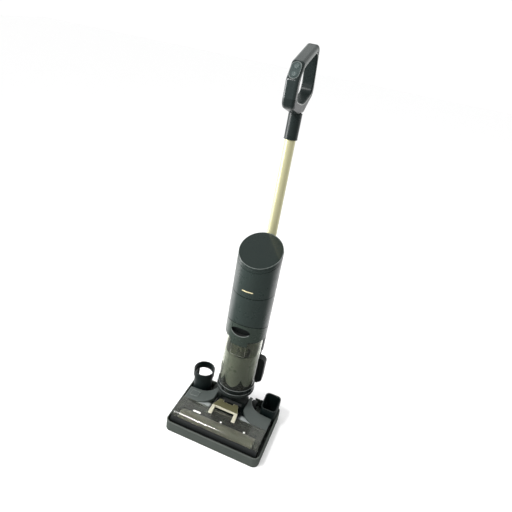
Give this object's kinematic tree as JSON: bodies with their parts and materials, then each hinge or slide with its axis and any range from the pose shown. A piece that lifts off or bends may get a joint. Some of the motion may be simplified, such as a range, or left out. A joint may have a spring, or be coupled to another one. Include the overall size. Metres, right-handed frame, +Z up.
{
  "type": "wet dry floor scrubber",
  "caption": "Upright wet and dry floor scrubber with a roller head, clear dirty water tank, sloping round display, loop handle and a parking dock.",
  "frame": {"origin": "on the floor under the dock, in the middle plane of the floor head", "axes": "+Z up, -Y to the front where the roller is, +X to the right seen from the front"},
  "size_m": [0.298, 0.3567, 1.0925],
  "materials": {
    "tray_grey": "fine grained moulding",
    "holder_dark": "fine grained moulding",
    "foot_rubber": "matt rubber",
    "socket_black": "matt",
    "base_black": "fine grained moulding",
    "cover_grey": "satin moulding",
    "gloss_black": "polished",
    "water_black": "matt",
    "motor_steel": "plain",
    "belt_rubber": "matt rubber",
    "pin_steel": "ground",
    "wheel_rubber": "smooth tread",
    "roller_white": "plain",
    "pile_fabric": "short plush",
    "smoke_clear": "clear smoked",
    "gold_satin": "metallic champagne",
    "body_dark": "satin moulding",
    "ring_dark": "semi gloss",
    "lens_black": "polished lens",
    "fan_can": "cast",
    "battery_wrap": "film wrap",
    "pump_white": "plain",
    "board_green": "lacquered board",
    "tube_champagne": "satin anodised",
    "grip_black": "soft touch",
    "button_grey": "satin",
    "lid_dark": "satin moulding",
    "pad_dark": "semi gloss",
    "petal_dark": "semi gloss",
    "pipe_grey": "plain",
    "clean_smoke": "clear smoked",
    "cap_dark": "satin"
  },
  "bodies": {
    "dock": {"dock_tray": "tray_grey", "dock_foot_left": "foot_rubber", "dock_foot_right": "foot_rubber", "spare_holder": "holder_dark", "accessory_box": "holder_dark", "dock_inlet": "socket_black"},
    "head": {"head_base": "base_black", "bottom_plate": "base_black", "head_cover": "cover_grey", "valley_panel": "gloss_black", "belt_cover": "base_black", "end_cover": "base_black", "spray_bar": "water_black", "squeegee": "foot_rubber", "brush_motor": "motor_steel", "drive_belt": "belt_rubber", "recline_pin": "pin_steel", "wheel_axle_left": "pin_steel", "wheel_axle_right": "pin_steel"},
    "motor": {"motor_pulley": "motor_steel"},
    "wheel_left": {"wheel_left": "wheel_rubber"},
    "wheel_right": {"wheel_right": "wheel_rubber"},
    "roller_button": {"roller_button": "gloss_black"},
    "roller": {"roller_core": "roller_white", "roller_pile": "pile_fabric", "roller_cap_left": "roller_white", "roller_cap_right": "roller_white", "drive_pulley": "roller_white"},
    "window": {"window_cover": "smoke_clear", "window_handle": "gold_satin"},
    "window_latch": {"window_latch": "gloss_black"},
    "yoke": {"neck_yoke": "base_black"},
    "frame": {"cradle": "body_dark", "spine": "body_dark", "mid_housing": "body_dark", "upper_housing": "body_dark", "bezel_ring": "ring_dark", "display_lens": "lens_black", "fan_motor": "fan_can", "battery_pack": "battery_wrap", "water_pump": "pump_white", "main_board": "board_green", "tube_socket": "body_dark", "tube": "tube_champagne", "neck_sleeve": "body_dark", "handle_front": "body_dark", "handle_rear": "grip_black", "button_pod": "gloss_black"},
    "power_button": {"power_button": "button_grey"},
    "mode_button": {"mode_button": "button_grey"},
    "dirty_tank": {"tank_cup": "smoke_clear", "tank_base": "gloss_black", "petal_cup": "petal_dark", "tank_lid": "lid_dark", "strainer_box": "smoke_clear", "suction_pipe": "pipe_grey"},
    "tank_float": {"tank_float": "pipe_grey"},
    "lid_latch": {"lid_latch": "pad_dark"},
    "clean_tank": {"clean_tank": "clean_smoke"},
    "clean_cap": {"clean_cap": "cap_dark"}
  },
  "joints": [
    {"name": "machine_lift", "type": "slide", "parent": "dock", "child": "head", "axis": [0, 0, 1], "range_m": [0, 0.06]},
    {"name": "recline", "type": "hinge", "parent": "head", "child": "yoke", "pos_m": [0, 0.0235, 0.058], "axis": [-1, 0, 0], "range_deg": [0, 60]},
    {"name": "swivel", "type": "hinge", "parent": "yoke", "child": "frame", "pos_m": [0, 0.0235, 0.058], "axis": [0, 0.0436, 0.999], "range_deg": [-35, 35]},
    {"name": "roller_spin", "type": "hinge", "parent": "head", "child": "roller", "pos_m": [0, -0.098, 0.0299], "axis": [1, 0, 0], "continuous": true},
    {"name": "motor_spin", "type": "hinge", "parent": "head", "child": "motor", "pos_m": [0, -0.03, 0.0299], "axis": [1, 0, 0], "continuous": true},
    {"name": "wheel_left_spin", "type": "hinge", "parent": "head", "child": "wheel_left", "pos_m": [-0.066, 0.044, 0.0269], "axis": [1, 0, 0], "continuous": true},
    {"name": "wheel_right_spin", "type": "hinge", "parent": "head", "child": "wheel_right", "pos_m": [0.066, 0.044, 0.0269], "axis": [1, 0, 0], "continuous": true},
    {"name": "window_lift", "type": "slide", "parent": "head", "child": "window", "axis": [0, 0, 1], "range_m": [0, 0.03]},
    {"name": "window_latch_press", "type": "slide", "parent": "window", "child": "window_latch", "axis": [0, 0, -1], "range_m": [0, 0.002], "stiffness_N_per_m": 400, "springref_m": -0.001},
    {"name": "roller_button_press", "type": "slide", "parent": "head", "child": "roller_button", "axis": [0, 0, -1], "range_m": [0, 0.0025], "stiffness_N_per_m": 500, "springref_m": -0.001},
    {"name": "tank_pull", "type": "slide", "parent": "frame", "child": "dirty_tank", "axis": [0, -0.999, 0.0436], "range_m": [0, 0.13]},
    {"name": "lid_latch_press", "type": "slide", "parent": "dirty_tank", "child": "lid_latch", "axis": [0, 0.999, -0.0436], "range_m": [0, 0.003], "stiffness_N_per_m": 400, "springref_m": -0.001},
    {"name": "float_rise", "type": "slide", "parent": "dirty_tank", "child": "tank_float", "axis": [0, 0.0436, 0.999], "range_m": [0, 0.025]},
    {"name": "clean_pull", "type": "slide", "parent": "frame", "child": "clean_tank", "axis": [0, 0.999, -0.0436], "range_m": [0, 0.07]},
    {"name": "clean_cap_turn", "type": "hinge", "parent": "clean_tank", "child": "clean_cap", "pos_m": [0, 0.13443, 0.48956], "axis": [0, 0.999, -0.0436], "range_deg": [0, 90]},
    {"name": "power_button_press", "type": "slide", "parent": "frame", "child": "power_button", "axis": [0, 0.8241, -0.5665], "range_m": [0, 0.0012], "stiffness_N_per_m": 500, "springref_m": -0.0005},
    {"name": "mode_button_press", "type": "slide", "parent": "frame", "child": "mode_button", "axis": [0, 0.8241, -0.5665], "range_m": [0, 0.0012], "stiffness_N_per_m": 500, "springref_m": -0.0005}
  ],
  "couplings": [
    {"joint": "motor_spin", "follows": "roller_spin", "ratio": 1.9}
  ]
}
